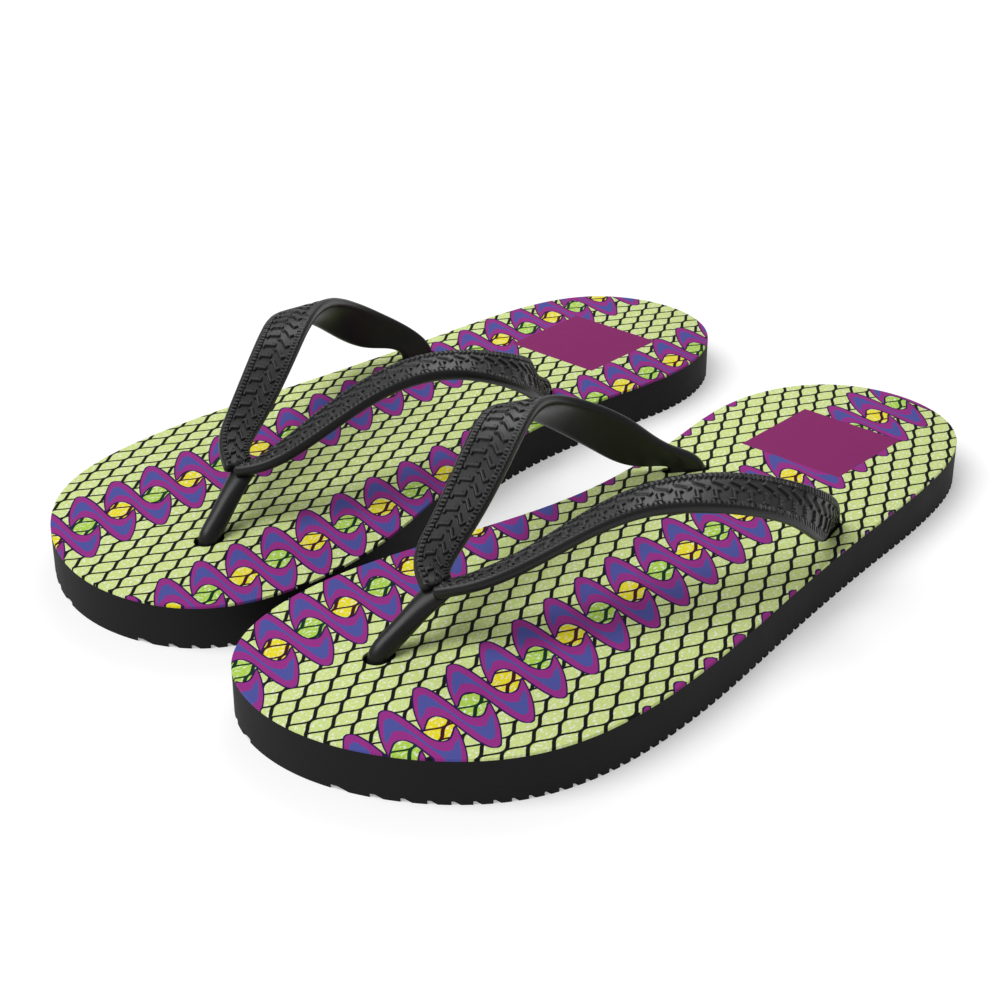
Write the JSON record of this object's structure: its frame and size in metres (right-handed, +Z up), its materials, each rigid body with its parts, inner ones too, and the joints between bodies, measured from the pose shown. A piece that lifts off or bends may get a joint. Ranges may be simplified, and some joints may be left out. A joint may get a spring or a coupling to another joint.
{
  "type": "pair of thong sandals",
  "caption": "Pair of rubber thong sandals with a printed textile footbed, an embossed Y strap and a ribbed tread.",
  "frame": {"origin": "centre of the bounding box at the floor, between the two sandals", "axes": "+Z up; toes towards -Y, heels towards +Y; the left sandal at +X"},
  "size_m": [0.2156, 0.2827, 0.0518],
  "materials": {
    "sole_rubber": "fine-grained matt black rubber",
    "printed_textile": "printed polyester textile, pale green ground with a black net and purple ribbons",
    "strap_rubber": "satin black moulded rubber, embossed on its outer face"
  },
  "bodies": {
    "left_rear": {"left_sole_rear": "sole_rubber", "left_footbed_rear": "printed_textile", "left_outer_strap": "strap_rubber", "left_inner_strap": "strap_rubber", "left_outer_plug": "strap_rubber", "left_inner_plug": "strap_rubber"},
    "left_fore": {"left_sole_fore": "sole_rubber", "left_footbed_fore": "printed_textile", "left_toe_post": "strap_rubber", "left_toe_plug": "strap_rubber"},
    "right_rear": {"right_sole_rear": "sole_rubber", "right_footbed_rear": "printed_textile", "right_outer_strap": "strap_rubber", "right_inner_strap": "strap_rubber", "right_outer_plug": "strap_rubber", "right_inner_plug": "strap_rubber"},
    "right_fore": {"right_sole_fore": "sole_rubber", "right_footbed_fore": "printed_textile", "right_toe_post": "strap_rubber", "right_toe_plug": "strap_rubber"}
  },
  "joints": [
    {"name": "right_sandal_lift", "type": "slide", "parent": "left_rear", "child": "right_rear", "axis": [0, 0, 1], "range_m": [0, 0.12]},
    {"name": "left_sole_flex", "type": "hinge", "parent": "left_rear", "child": "left_fore", "pos_m": [0.05375, -0.04135, 0.0134], "axis": [-1, 0, 0], "range_deg": [0, 35], "stiffness_Nm_per_rad": 1.2, "deforming": ["left_outer_strap", "left_inner_strap"]},
    {"name": "right_sole_flex", "type": "hinge", "parent": "right_rear", "child": "right_fore", "pos_m": [-0.05375, -0.02865, 0.0134], "axis": [-1, 0, 0], "range_deg": [0, 35], "stiffness_Nm_per_rad": 1.2, "deforming": ["right_outer_strap", "right_inner_strap"]}
  ]
}
